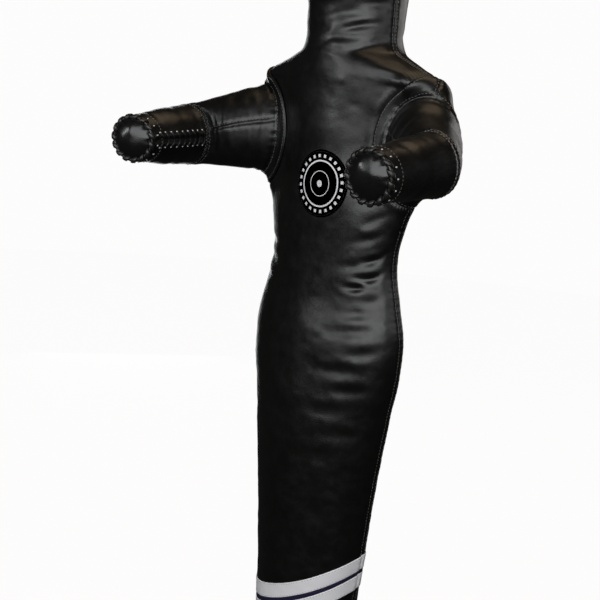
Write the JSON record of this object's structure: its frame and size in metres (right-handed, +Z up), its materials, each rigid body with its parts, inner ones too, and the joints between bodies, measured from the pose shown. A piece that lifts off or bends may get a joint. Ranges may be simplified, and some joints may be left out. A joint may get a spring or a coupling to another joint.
{
  "type": "grappling dummy",
  "caption": "One-legged leather grappling dummy with a plain head, two bent hugging arms with laced sleeves, a chest badge and two slanting stripes low on the leg.",
  "frame": {"origin": "centre of the flat end of the leg, which the dummy stands on", "axes": "+Z up along the body, the dummy faces -Y, its own left side is +X"},
  "size_m": [0.744, 0.3815, 1.6],
  "materials": {
    "cover_leather": "satin",
    "cap_leather": "gloss",
    "white_leather": "satin",
    "badge": "satin",
    "lacing": "satin",
    "textile_fill": "matte",
    "ballast": "matte",
    "board": "matte",
    "print_white": "satin",
    "thread": "satin"
  },
  "bodies": {
    "leg": {"leg_filling": "textile_fill", "leg_front_cover": "cover_leather", "leg_back_cover": "cover_leather", "leg_end_cap": "cap_leather", "leg_end_lacing": "lacing", "base_board": "board", "ballast_bag": "ballast", "stripe_upper": "white_leather", "stripe_lower": "white_leather"},
    "torso": {"torso_filling": "textile_fill", "torso_front_cover": "cover_leather", "torso_back_cover": "cover_leather", "torso_back_tongue": "cap_leather", "torso_back_lacing": "lacing", "chest_badge": "badge", "left_armhole_band": "cover_leather", "right_armhole_band": "cover_leather"},
    "head": {"head_filling": "textile_fill", "head_front_cover": "cover_leather", "head_back_cover": "cover_leather"},
    "left_upper_arm": {"left_upper_arm_filling": "textile_fill", "left_upper_sleeve": "cover_leather"},
    "left_forearm": {"left_forearm_filling": "textile_fill", "left_forearm_sleeve": "cover_leather", "left_forearm_tongue": "cap_leather", "left_forearm_lacing": "lacing", "left_arm_end_cap": "cap_leather", "left_arm_end_lacing": "lacing"},
    "right_upper_arm": {"right_upper_arm_filling": "textile_fill", "right_upper_sleeve": "cover_leather"},
    "right_forearm": {"right_forearm_filling": "textile_fill", "right_forearm_sleeve": "cover_leather", "right_forearm_tongue": "cap_leather", "right_forearm_lacing": "lacing", "right_arm_end_cap": "cap_leather", "right_arm_end_lacing": "lacing"}
  },
  "joints": [
    {"name": "waist_bend", "type": "hinge", "parent": "leg", "child": "torso", "pos_m": [0, 0, 0.936], "axis": [1, 0, 0], "range_deg": [-10, 25], "stiffness_Nm_per_rad": 600},
    {"name": "neck_nod", "type": "hinge", "parent": "torso", "child": "head", "pos_m": [0, 0, 1.351], "axis": [1, 0, 0], "range_deg": [-15, 25], "stiffness_Nm_per_rad": 60},
    {"name": "left_shoulder_swing", "type": "hinge", "parent": "torso", "child": "left_upper_arm", "pos_m": [0.205, -0.018, 1.166], "axis": [0, 0, -1], "range_deg": [-20, 20], "stiffness_Nm_per_rad": 40},
    {"name": "left_elbow_bend", "type": "hinge", "parent": "left_upper_arm", "child": "left_forearm", "pos_m": [0.312, -0.124, 1.142], "axis": [0, 0, -1], "range_deg": [-20, 25], "stiffness_Nm_per_rad": 15},
    {"name": "right_shoulder_swing", "type": "hinge", "parent": "torso", "child": "right_upper_arm", "pos_m": [-0.205, -0.018, 1.166], "axis": [0, 0, 1], "range_deg": [-20, 20], "stiffness_Nm_per_rad": 40},
    {"name": "right_elbow_bend", "type": "hinge", "parent": "right_upper_arm", "child": "right_forearm", "pos_m": [-0.312, -0.124, 1.142], "axis": [0, 0, 1], "range_deg": [-20, 25], "stiffness_Nm_per_rad": 15}
  ]
}
